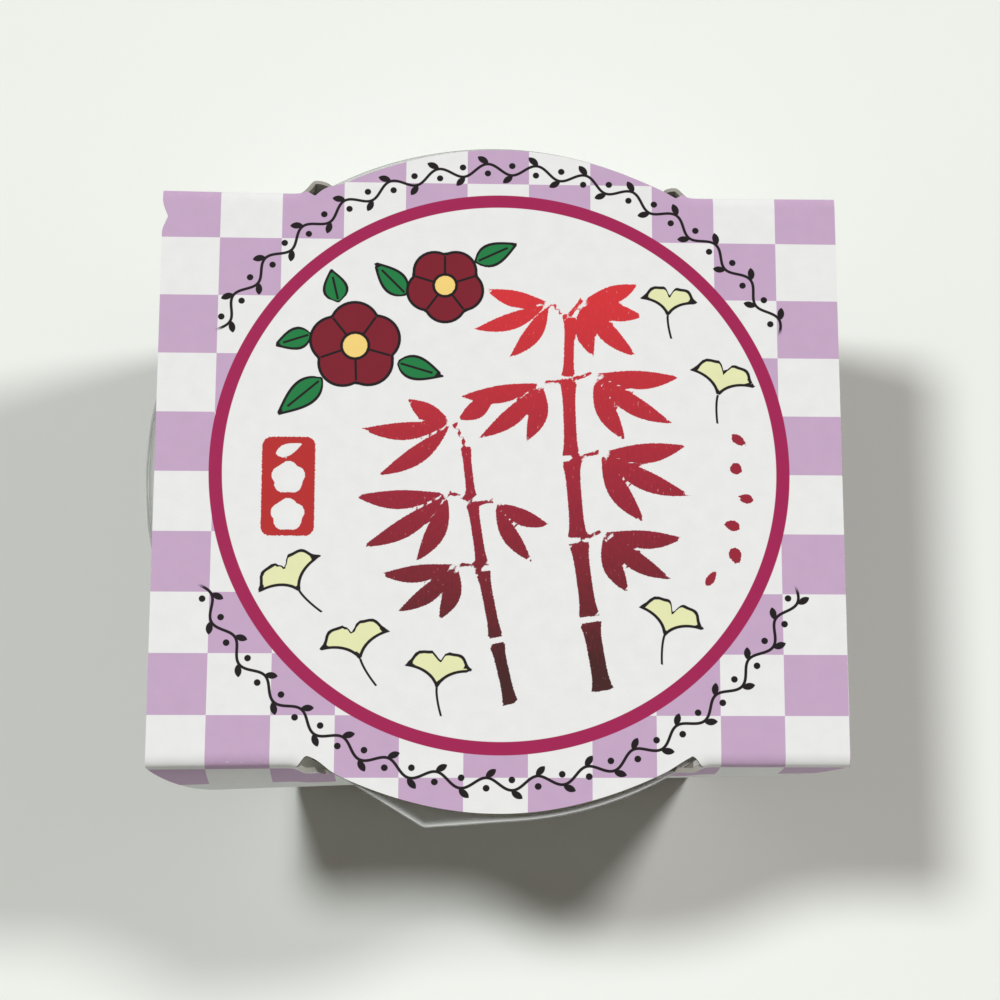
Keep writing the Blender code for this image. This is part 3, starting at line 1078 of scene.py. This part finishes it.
@dataclass
class Sleeve:
    """The carton sleeve, folded from one flat strip of board.

    A point of the flat pattern is x across the board and s along it, both in millimetres. s is
    0 in the middle of the top, below zero towards the front and above zero towards the back.
    """

    half_width: float = 35.0
    half_depth: float = 30.0
    height: float = 32.0
    board: float = 0.45
    fold_reach: float = 1.3
    fold_radius: float = 0.7
    foot_half_width: float = 22.0
    lean: float = 4.5
    bow: float = 1.75
    front_bow: tuple[float, float, float] = (0.72, -0.40, 0.05)
    back_bow: float = 0.30
    bow_lift: float = 0.8
    lap_height: float = 0.55
    outer_layer_end: float = 23.6
    flap_end: float = 11.0
    tongue_radius: float = 35.0
    circle_end: float = 34.0
    dip_lead: float = 0.9
    dip_width: float = 1.3
    slit_level: float = 30.0
    ear_rise: float = 0.45
    ear_slope: float = 1.1
    push_spread: tuple[float, float] = (5.0, 0.95)
    push_depth: float = 4.5
    flare: float = 0.42
    chip_middle: float = 27.0
    chip_half: float = 1.5
    chip_depth: float = 0.6
    chip_width: float = 2.5
    shoulder: float = 3.0
    shoulder_end: float = 36.0
    spacing: float = 0.43
    fine_spacing: float = 0.18
    fold_rows: int = 11
    panel_rows: tuple[int, ...] = (12, 17, 4, 6)
    hooks: tuple[Hook, ...] = (
        Hook(-1, -1, 18.99, 20.2, 0.42, 18.2, 0.72),
        Hook(-1, 1, 19.24, 20.5, 0.10, 17.5, 0.75),
        Hook(1, -1, 19.15, 20.8, -0.50, 17.6, 1.35),
        Hook(1, 1, 18.37, 19.7, 0.0, 17.2, 1.00),
    )
    drawing: Drawing = Drawing()
    finishes: tuple[Finish, ...] = (
        PrintedBoard(),
        RawBoard(),
        # The cut edges' grey tone is darkened as painted shade, so the slit's lip reads as a dark gap.
        RawBoard("board_edge_grey_and_shade", (156, 154, 147)),
    )

    @property
    def fold_start(self) -> float:
        """Where the top's flat part ends."""
        return self.half_depth - self.fold_reach

    @property
    def fold_end(self) -> float:
        """Where the panel starts, as a length of the flat pattern."""
        return self.half_depth + self.fold_radius

    def foot_start(self, side: Grid) -> Grid:
        """Where a panel ends above its foot fold: the front's foot is the lower one."""
        level = np.where(side < 0, 0.0, self.lap_height)
        return self.half_depth + self.height - level - self.fold_radius

    def half_at(self, s: Grid) -> Grid:
        """Half the board's width: it narrows steadily down the panels."""
        start = self.foot_start(s)
        share = np.clip((np.abs(s) - self.fold_end) / (start - self.fold_end), 0, 1)
        return self.half_width + (self.foot_half_width - self.half_width) * share

    def columns(self) -> Grid:
        """Places across the top: even steps, finer ones beside the hooks."""
        breaks = {-self.half_width, self.half_width}
        for hook in self.hooks:
            stops = (hook.apex, hook.end, hook.ear_end, hook.ear_end - self.ear_slope)
            breaks |= {hook.hand * stop for stop in stops}
        ordered = sorted(breaks)
        runs = []
        for low, high in zip(ordered, ordered[1:]):
            step = self.fine_spacing if high - low < 2 else self.spacing
            runs.append(np.linspace(low, high, max(1, round((high - low) / step)), endpoint=False))
        return np.concatenate([*runs, [self.half_width]])

    def circle(self, x: Grid) -> Grid:
        """The tongues' circle, as distances from the middle of the top."""
        return np.sqrt(self.tongue_radius**2 - np.minimum(np.abs(x), self.circle_end) ** 2)

    def hooks_on(self, side: int) -> list[Hook]:
        """The left and the right hook of one side."""
        return sorted((h for h in self.hooks if h.side == side), key=lambda hook: hook.hand)

    def cut(self, x: Grid, side: int) -> Grid:
        """How far from the middle of the top the tongue's cut runs.

        It follows the tongue's circle, dips by a bell curve just before each apex, and from
        there comes back to the end of the fold as the square of the way.
        """
        reach = self.circle(x)
        for hook in self.hooks_on(side):
            out = x * hook.hand
            before = np.minimum(out, hook.apex) - hook.apex + self.dip_lead
            dip = hook.dip * np.exp(-((before / self.dip_width) ** 2))
            reach = reach - dip * (out > 0)
            apex = math.sqrt(self.tongue_radius**2 - hook.apex**2)
            apex -= hook.dip * math.exp(-((self.dip_lead / self.dip_width) ** 2))
            back = np.clip((out - hook.apex) / (hook.end - hook.apex), 0, 1)
            returned = apex + (self.fold_end - apex) * back**2
            reach = np.where(out > hook.apex, returned, reach)
        return reach

    def stiffness(self, x: Grid, side: int) -> Grid:
        """1 where the cut board stays flat, falling to 0 at the ends of the cut."""
        share = np.ones_like(x)
        for hook in self.hooks_on(side):
            out = x * hook.hand
            share = share * (1 - smooth_step((out - hook.apex) / (hook.end - hook.apex)))
        return share

    def widened(self, x: Grid, s: Grid) -> Grid:
        """How much further out the sleeve stands towards its left side."""
        along = np.abs(s)
        wide = self.flare * np.clip(-x / self.half_width, 0, 1) ** 1.5
        ends = np.minimum(along / self.fold_start, self.foot_start(s) / np.maximum(along, 1))
        return wide * smooth_step(ends)

    def pushed(self, x: Grid, s: Grid) -> Grid:
        """How far the flange pushes the panel out beside each hook."""
        total = np.zeros_like(x)
        depth = np.exp(-np.clip(np.abs(s) - self.half_depth, 0, None) / self.push_depth)
        for hook in self.hooks:
            out = x * hook.hand - hook.apex
            spread = np.where(out < 0, *self.push_spread)
            near = hook.push * np.exp(-((out / spread) ** 2))
            total = np.maximum(total, near * (np.sign(s) == hook.side))
        return total * depth

    def folded(self, x: Grid, s: Grid, upright: bool = False) -> Grid:
        """Folds points of the flat pattern round the cup.

        The top is flat, each top fold is a quarter ellipse, each panel leans in steadily and
        bows out as half a sine wave, fullest above its middle, and the base runs in from the
        foot fold. Towards its left side the sleeve stands open a little wider.

        Args:
            x: Places across the board.
            s: Places along it.
            upright: Whether the board goes on straight above its panel instead of folding.

        Returns:
            One row of x, y and z for each point.
        """
        side, along = np.sign(s), np.abs(s)
        level = np.where(side < 0, 0.0, self.lap_height)
        start = self.foot_start(s)
        radius = self.fold_radius
        push = self.pushed(x, s)

        bend = (along - self.fold_start) / (self.fold_reach + radius) * math.pi / 2
        fold_y = self.fold_start + (self.fold_reach + push) * np.sin(bend)
        fold_z = self.height - radius + radius * np.cos(bend)

        share = (along - self.fold_end) / (start - self.fold_end)
        station = x / self.half_at(s)
        first, by_one, by_two = self.front_bow
        front = first + by_one * station + by_two * station**2
        bow = self.bow * np.where(side < 0, front, self.back_bow)
        panel_y = self.half_depth - self.lean * share + push
        panel_y = panel_y + bow * np.sin(math.pi * np.clip(share, 0, 1) ** self.bow_lift)
        panel_z = self.height - (along - self.half_depth)

        foot_y = self.half_depth - self.lean - radius
        turn = (along - start) / (2 * radius) * math.pi / 2
        heel_y = foot_y + radius * np.cos(turn)
        heel_z = level + radius - radius * np.sin(turn)
        base_y = foot_y - (along - start - 2 * radius)

        parts = [along <= self.fold_start, along <= self.fold_end, along <= start]
        parts.append(along <= start + 2 * radius)
        if upright:
            parts[:2] = [np.zeros_like(parts[0])] * 2
        y = np.select(parts, [along, fold_y, panel_y, heel_y], base_y) + self.widened(x, s)
        z = np.select(parts, [self.height + 0 * along, fold_z, panel_z, heel_z], level)
        return np.stack([x, side * y, z], axis=-1)

    def spread(
        self, columns: Grid, low: Grid | float, high: Grid | float, rows: int, side: int
    ) -> tuple[Grid, Grid]:
        """The flat pattern's points of one patch, row by row from low to high.

        The chip is a notch in the left edge of the top, as deep as the product of two ramps.

        Args:
            columns: Places across the top, which narrow with the board.
            low, high: Where each column starts and ends along the board.
            rows: How many steps a column has.
            side: -1 towards the front, 1 towards the back.

        Returns:
            The points' places across the board and along it.
        """
        low, high = (np.broadcast_to(level, columns.shape) for level in (low, high))
        share = np.linspace(0, 1, rows + 1)[:, None]
        s = side * (low + (high - low) * share)
        across = columns * self.half_at(s) / self.half_width
        middle = (np.abs(s - self.chip_middle) / self.chip_half).clip(0, 1)
        edge = np.clip((-columns - self.half_width + self.chip_width) / self.chip_width, 0, 1)
        return across + self.chip_depth * (1 - middle) * edge, s

    def patches(self) -> Iterator[Patch]:
        """Every patch of the sleeve, as points across, points along and folded points."""
        columns = self.columns()
        rows = round(2 * self.fold_start / self.spacing)
        across, s = self.spread(columns, -self.fold_start, self.fold_start, rows, 1)
        yield across, s, self.folded(across, s)
        for side in (-1, 1):
            left, right = self.hooks_on(side)
            inner = (columns >= -left.end - SLACK) & (columns <= right.end + SLACK)
            first, last = np.flatnonzero(inner)[[0, -1]]
            for run in (columns[: first + 1], columns[last:]):
                across, s = self.spread(run, self.fold_start, self.fold_end, self.fold_rows, side)
                yield across, s, self.folded(across, s)
            yield self._tongue(columns[inner], side)
            yield from self._panel(columns, side)

    def _tongue(self, columns: Grid, side: int) -> Patch:
        """The tongue: flat as the top is, and bent into the fold at the ends of its cut."""
        cut = self.cut(columns, side)
        across, s = self.spread(columns, self.fold_start, cut, self.fold_rows, side)
        out = s + side * self.widened(across, s)
        flat = np.stack([across, out, np.full_like(s, self.height)], axis=-1)
        share = self.stiffness(across, side)[..., None]
        return across, s, flat * share + self.folded(across, s) * (1 - share)

    def panel_top(self, x: Grid, side: int) -> Grid:
        """How far from the middle of the top the panel's upper edge lies.

        It is the end of the fold outside the hooks, rises to an ear beside each hook and
        drops to the slit, which widens in the middle by the tongue's own circle.
        """
        slit = self.half_depth + self.height - self.slit_level
        top = np.maximum(slit, self.circle(x))
        for hook in self.hooks_on(side):
            out = x * hook.hand
            share = np.clip((out - hook.ear_end) / (hook.end - hook.ear_end), 0, 1)
            ear = self.fold_end - self.ear_rise * np.sin(math.pi * share**0.8) ** 0.8
            ramp = smooth_step((out - hook.ear_end) / self.ear_slope + 1)
            top = np.where(out > hook.ear_end - self.ear_slope, slit + (ear - slit) * ramp, top)
        return top

    def _panel(self, columns: Grid, side: int) -> Iterator[Patch]:
        """The panel from its upper edge down, with its foot and its part of the base.

        The board narrows on its way down, so the upper edge is found in a few rounds.
        """
        low = self.panel_top(columns, side)
        for _ in range(6):
            low = self.panel_top(columns * self.half_at(side * low) / self.half_width, side)
        start = float(self.foot_start(np.array(side)))
        heel = start + 2 * self.fold_radius
        free = self.outer_layer_end if side < 0 else -self.flap_end
        end = heel + self.half_depth - self.lean - self.fold_radius + free
        shoulder = np.minimum(low + self.shoulder, self.shoulder_end)
        levels = [low, shoulder, start, heel, end]
        for first, last, rows in zip(levels, levels[1:], self.panel_rows):
            across, s = self.spread(columns, first, last, rows, side)
            yield across, s, self.folded(across, s, upright=True)

    def build(self) -> bpy.types.Object:
        """Makes the sleeve in the place of its plain solid.

        Returns:
            The dressed object.
        """
        points, faces, flat, total = [], [], [], 0
        for across, s, folded in self.patches():
            rows, count = across.shape
            faces.append(grid_faces(rows, count) + total)
            if s[0, 0] > s[-1, 0]:
                faces[-1] = faces[-1][:, ::-1]
            total += rows * count
            points.append(folded.reshape(-1, 3))
            printed = s + np.sign(s) * self.widened(across, s)
            flat.append(np.stack([across, printed, np.zeros_like(s)], axis=-1).reshape(-1, 3))
        pattern = np.concatenate(flat)
        plates = self.drawing.plates(pattern[:, 0], pattern[:, 1])
        values = {"pattern": pattern} | {plate.value: held for plate, held in plates.items()}
        points, faces = np.concatenate(points), np.concatenate(faces)
        made = make_object("sleeve_board", points, faces, values, self.finishes)
        wall = made.modifiers.new("board", "SOLIDIFY")
        wall.thickness = self.board * MM
        wall.offset = -1
        wall.use_rim = True
        wall.material_offset = 1
        wall.material_offset_rim = 2
        settle(made)
        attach(made, "root")
        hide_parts("sleeve")
        return made


# The cup, its film and the sweet


@dataclass(frozen=True)
class DieCut:
    """The outline that flange and film share: a circle drawn out to one blunt peel corner."""

    centre: Point = (-0.5, -0.1)
    radius: float = 35.5
    tip: Point = (-7.4, -36.2)
    tip_radius: float = 0.8
    straight_start: float = 46.0
    count: int = 240
    tab_half: float = 0.16
    tab_count: int = 49

    def angles(self) -> Grid:
        """Headings from the centre: even steps, and closer ones round the tab."""
        even = np.linspace(-math.pi, math.pi, self.count, endpoint=False)
        heading = math.atan2(self.tip[1] - self.centre[1], self.tip[0] - self.centre[0])
        close = heading + np.linspace(-self.tab_half, self.tab_half, self.tab_count)
        kept = even[np.abs(even - heading) > self.tab_half + 0.002]
        return np.sort(np.concatenate([kept, close]))

    def reach(self, angle: Grid) -> Grid:
        """Distance from the centre to the outline at each heading.

        The circle is joined to the tip by two straight lines: one that leaves it where the
        straight edge starts, and one that touches it. The corner between them is rounded by a
        circle of the tip's radius that touches both.

        Args:
            angle: Headings in radians, 0 along +X.

        Returns:
            One distance for each heading.
        """
        centre = np.array(self.centre)
        tip = np.array(self.tip) - centre
        length = float(np.hypot(*tip))
        heading = math.atan2(tip[1], tip[0])
        start = -math.pi / 2 - math.radians(self.straight_start)
        left = self.radius * np.array([math.cos(start), math.sin(start)])
        touch = heading + math.acos(self.radius / length)
        right = self.radius * np.array([math.cos(touch), math.sin(touch)])
        ray = np.stack([np.cos(angle), np.sin(angle)], axis=-1)
        reach = np.full_like(angle, self.radius)
        for end in (left, right):
            along = tip - end
            normal = np.array([along[1], -along[0]]) / np.hypot(*along)
            normal *= np.sign(normal @ tip)
            meeting = (normal @ tip) / np.maximum(ray @ normal, SLACK)
            between = (ray @ np.array([-end[1], end[0]])) * (ray @ np.array([-tip[1], tip[0]])) <= 0
            reach = np.where(between & (ray @ tip > 0), meeting, reach)
        first = (left - tip) / np.hypot(*(left - tip))
        second = (right - tip) / np.hypot(*(right - tip))
        half = math.acos(float(first @ second)) / 2
        inward = (first + second) / np.hypot(*(first + second))
        middle = tip + inward * self.tip_radius / math.sin(half)
        forward = ray @ middle
        aside = middle @ middle - forward**2
        hit = forward + np.sqrt(np.clip(self.tip_radius**2 - aside, 0, None))
        tangent = self.tip_radius / math.tan(half)
        ends = [tip + first * tangent, tip + second * tangent]
        low, high = sorted(math.atan2(end[1], end[0]) for end in ends)
        return np.where((angle > low) & (angle < high), hit, reach)


class Skin:
    """Rings of points round an upright axis, joined one to the next into one skin."""

    def __init__(self, centre: Point, angle: Grid) -> None:
        """Starts with no ring, at a centre and with the headings of every ring's points."""
        self.centre = centre
        self.angle = angle
        self.rows: list[Grid] = []
        self.rim_glints: list[Grid] = []

    def add(self, radius: Grid | float, height: Grid | float, rim: float = 0.0) -> None:
        """Adds one ring.

        Args:
            radius: The distance from the centre, one for all or one for each heading.
            height: The height, one for all or one for each heading.
            rim: How much the ring gets the painted pale highlight of a cut edge, from 0 to 1.
        """
        x = self.centre[0] + radius * np.cos(self.angle)
        y = self.centre[1] + radius * np.sin(self.angle)
        self.rows.append(np.column_stack([x, y, np.broadcast_to(height, x.shape)]))
        self.rim_glints.append(np.full_like(x, rim))

    def build(self, name: str, finish: Finish) -> bpy.types.Object:
        """Joins the rings and gives them their finish.

        Args:
            name: The object's name.
            finish: The finish of the whole skin.

        Returns:
            The object, whose points hold their share of the painted edge highlight under "rim".
        """
        faces = grid_faces(len(self.rows), len(self.angle), closed=True)
        values = {"rim": np.concatenate(self.rim_glints)}
        made = make_object(name, np.concatenate(self.rows), faces, values, [finish])
        made.data.set_sharp_from_angle(angle=SHARP_ANGLE)
        return made


@dataclass
class Cup:
    """The thermoformed cup: recessed base, sloping wall with a stacking ledge, and a flange."""

    outline: DieCut = DieCut()
    foot: float = 1.3
    wall: float = 0.7
    base_radius: float = 24.1
    corner: float = 2.2
    recess_radius: float = 18.5
    recess: float = 0.9
    ledge_radius: float = 28.1
    ledge_height: float = 26.2
    mouth_radius: float = 29.0
    flange_top: float = 30.75
    flange: float = 0.6
    flange_shares: tuple[float, ...] = (0.05, 0.18, 0.42, 0.60, 0.74, 0.86, 0.93, 0.97, 1.0)
    # How fast the painted edge highlight fades inward from the flange's edge.
    glint_power: int = 50
    finish: Finish = ClearPlastic()

    def outer_line(self) -> Grid:
        """The outer face as (radius, height), from the middle of the base to the mouth."""
        top = self.foot + self.corner
        slope = math.atan2(self.ledge_radius - self.base_radius, self.ledge_height - top)
        sweep = np.linspace(-math.pi / 2, -slope, 9)
        corner = np.column_stack(
            [
                self.base_radius - self.corner + self.corner * np.cos(sweep),
                top + self.corner * np.sin(sweep),
            ]
        )
        lift = self.foot + self.recess
        share = np.linspace(0, 1, 9)[1:, None]
        side = corner[-1] + (np.array([self.ledge_radius, self.ledge_height]) - corner[-1]) * share
        step = self.mouth_radius - self.ledge_radius
        bend = np.linspace(0, math.pi / 2, 6)[1:]
        ledge = np.column_stack(
            [
                self.ledge_radius + step * (1 - np.cos(bend)),
                self.ledge_height + step * np.sin(bend),
            ]
        )
        return np.vstack(
            [
                [[0, lift], [self.recess_radius * 0.5, lift], [self.recess_radius - 0.3, lift]],
                [[self.recess_radius + 0.3, lift - 0.25]],
                [[self.recess_radius + self.recess, self.foot]],
                corner,
                side,
                ledge,
                [[self.mouth_radius, self.flange_top - self.flange - 0.35]],
            ]
        )

    def inner_line(self) -> Grid:
        """The outer face moved in by the wall, each corner along its mitre."""
        line = self.outer_line()
        steps = np.diff(line, axis=0)
        steps /= np.linalg.norm(steps, axis=1)[:, None]
        before, after = np.vstack([steps[:1], steps]), np.vstack([steps, steps[-1:]])
        total = before + after
        length = np.linalg.norm(total, axis=1)[:, None]
        moved = line + np.column_stack([-total[:, 1], total[:, 0]]) * 2 * self.wall / length**2
        moved[0, 0] = 0
        return moved

    def build(self) -> bpy.types.Object:
        """Makes the cup in the place of its plain solid.

        The grid runs once round the section: up the outside, out under the flange, round its
        edge, back over its top and down the inside. On the flange the radius goes from the
        mouth's circle to the die-cut outline.

        Returns:
            The dressed object.
        """
        angle = self.outline.angles()
        skin = Skin(self.outline.centre, angle)
        under = self.flange_top - self.flange
        bead = self.flange / 2
        band = self.outline.reach(angle) - bead - self.mouth_radius
        for radius, height in self.outer_line():
            skin.add(radius, height)
        # The flange's outer band and its bead carry a rim share that paints a pale edge highlight.
        for share in self.flange_shares:
            skin.add(self.mouth_radius + band * share, under, share**self.glint_power)
        for turn in np.linspace(-math.pi / 2, math.pi / 2, 7)[1:-1]:
            radius = self.mouth_radius + band + bead * math.cos(turn)
            skin.add(radius, (self.flange_top + under) / 2 + bead * math.sin(turn), 1.0)
        for share in self.flange_shares[::-1]:
            skin.add(self.mouth_radius + band * share, self.flange_top, share**self.glint_power)
        for radius, height in self.inner_line()[::-1]:
            skin.add(radius, min(height, self.flange_top))
        made = skin.build("cup_wall", self.finish)
        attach(made, "root")
        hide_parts("cup")
        return made


@dataclass
class PeelFilm:
    """The film sealed on the flange, a little wavy, with its tab at the front left."""

    outline: DieCut = DieCut()
    bottom: float = 31.05
    thickness: float = 0.2
    wave: float = 0.07
    edge_gaps: tuple[float, ...] = (0.1, 0.05, 0.02, 0.008, 0.004, 0.0)
    # How fast the painted edge highlight fades inward from the film's edge.
    glint_power: int = 120
    # rim sets how strongly the painted edge highlight shows on the film.
    finish: Finish = ClearPlastic("film_plastic", rim=0.5, rough=0.05, ripple=0.0001)

    def build(self) -> bpy.types.Object:
        """Makes the film in the place of its plain solid.

        Its height swings by wave * sin(9 * angle) * sin(5 * angle + 1) towards the edge.

        Returns:
            The dressed object.
        """
        angle = self.outline.angles()
        reach = self.outline.reach(angle)
        share = np.concatenate([np.linspace(0, 0.8, 9), 1 - np.array(self.edge_gaps)])
        swing = self.wave * np.sin(9 * angle) * np.sin(5 * angle + 1)
        skin = Skin(self.outline.centre, angle)
        # Each ring's rim share paints the film's pale edge highlight.
        for level, order in ((self.bottom, share), (self.bottom + self.thickness, share[::-1])):
            for part in order:
                skin.add(reach * part, level + swing * part**6, part**self.glint_power)
        made = skin.build("peel_film", self.finish)
        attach(made, "root")
        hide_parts("lid_film")
        return made


@dataclass
class Yokan:
    """The set yokan, which fills the cup and lies against its wall."""

    cup: Cup
    top: float = 30.25
    bite: float = 0.12
    meniscus: Point = (2.4, 0.35)
    count: int = 160
    finish: Finish = WineYokan()

    def build(self) -> bpy.types.Object:
        """Makes the sweet in the place of its plain solid.

        Its side is the cup's inner face moved out by a hair, so that no air shows, and its top
        is level with a small meniscus up the wall.

        Returns:
            The dressed object.
        """
        side = self.cup.inner_line()
        side[1:, 0] += self.bite
        side[:, 1] -= self.bite * (side[:, 1] < self.cup.foot + self.cup.corner)
        side[-1, 1] = self.top
        inward = np.linspace(0.02, 1, 7) ** 1.5
        reach, drop = self.meniscus
        radius, height = side[-1, 0] - reach * inward, self.top - drop * np.sin(inward * math.pi / 2)
        rim = np.column_stack([radius, height])
        line = np.vstack([side, rim, [[side[-1, 0] * 0.6, rim[-1, 1]], [0, rim[-1, 1]]]])
        angle = np.linspace(-math.pi, math.pi, self.count, endpoint=False)
        skin = Skin(self.cup.outline.centre, angle)
        for radius, height in line:
            skin.add(radius, height)
        made = skin.build("yokan_fill", self.finish)
        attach(made, "root")
        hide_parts("yokan")
        return made


# The studio


@dataclass(frozen=True)
class Lamp:
    """A far lamp, given by where it stands from the object and how wide it looks."""

    name: str
    towards: Triple
    spread: float
    strength: float
    colour: Triple

    def build(self) -> None:
        """Adds the lamp."""
        data = bpy.data.lights.new(self.name, "SUN")
        data.energy = self.strength
        data.angle = math.radians(self.spread)
        data.color = self.colour
        made = bpy.data.objects.new(self.name, data)
        made.rotation_mode = "QUATERNION"
        made.rotation_quaternion = Vector(self.towards).to_track_quat("Z", "Y")
        bpy.context.scene.collection.objects.link(made)


@dataclass(frozen=True)
class Studio:
    """Floor, lamps, surroundings and the camera at the photograph's place."""

    floor_half: float = 1500.0
    lamps: tuple[Lamp, ...] = (
        Lamp("lamp_back_left", (-15.6, 8.9, 32.0), 12.0, 2.12, (0.99, 1.01, 1.0)),
        Lamp("lamp_back_right", (27.0, 14.2, 32.0), 10.5, 1.64, (1.03, 1.0, 1.0)),
    )
    ambient: Triple = (0.100, 0.080, 0.066)
    camera_place: Triple = (-5.44, -81.73, 325.97)
    camera_turns: Triple = (-15.0, 1.10, -0.07)
    lens: float = 108.0
    view_range: Point = (0.01, 10.0)

    def build(self) -> None:
        """Adds everything that isn't part of the object."""
        corners = np.array([[-1, -1, 0], [1, -1, 0], [1, 1, 0], [-1, 1, 0]]) * self.floor_half
        floor = make_object("floor", corners, np.array([[0, 1, 2, 3]]), {}, [PaleFloor()])
        for lamp in self.lamps:
            lamp.build()
        world = bpy.data.worlds.new("studio")
        world.use_nodes = True
        world.node_tree.nodes["Background"].inputs["Color"].default_value = (*self.ambient, 1.0)
        bpy.context.scene.world = world
        bpy.context.scene.view_settings.view_transform = "Standard"
        self.add_camera()

    def add_camera(self) -> None:
        """Adds the camera: a long lens that looks down on the front edge."""
        data = bpy.data.cameras.new("camera")
        data.lens = self.lens
        data.clip_start, data.clip_end = self.view_range
        made = bpy.data.objects.new("camera", data)
        turns = Matrix.Identity(4)
        for turn, axis in zip(self.camera_turns, "XYZ"):
            turns = turns @ Matrix.Rotation(math.radians(turn), 4, axis)
        place = Matrix.Translation(Vector(self.camera_place) * MM)
        made.matrix_world = place @ turns.transposed()
        bpy.context.scene.collection.objects.link(made)
        bpy.context.scene.camera = made


def main() -> None:
    """Builds the sub-assemblies in order and reports each piece."""
    logging.basicConfig(level=logging.INFO, format="%(name)s: %(message)s")
    cup = Cup()
    for maker in (Yokan(cup), cup, PeelFilm(), Sleeve()):
        made = maker.build()
        LOG.info("%s: %d faces", made.name, len(made.data.polygons))
    Studio().build()


if __name__ == "__main__":
    main()
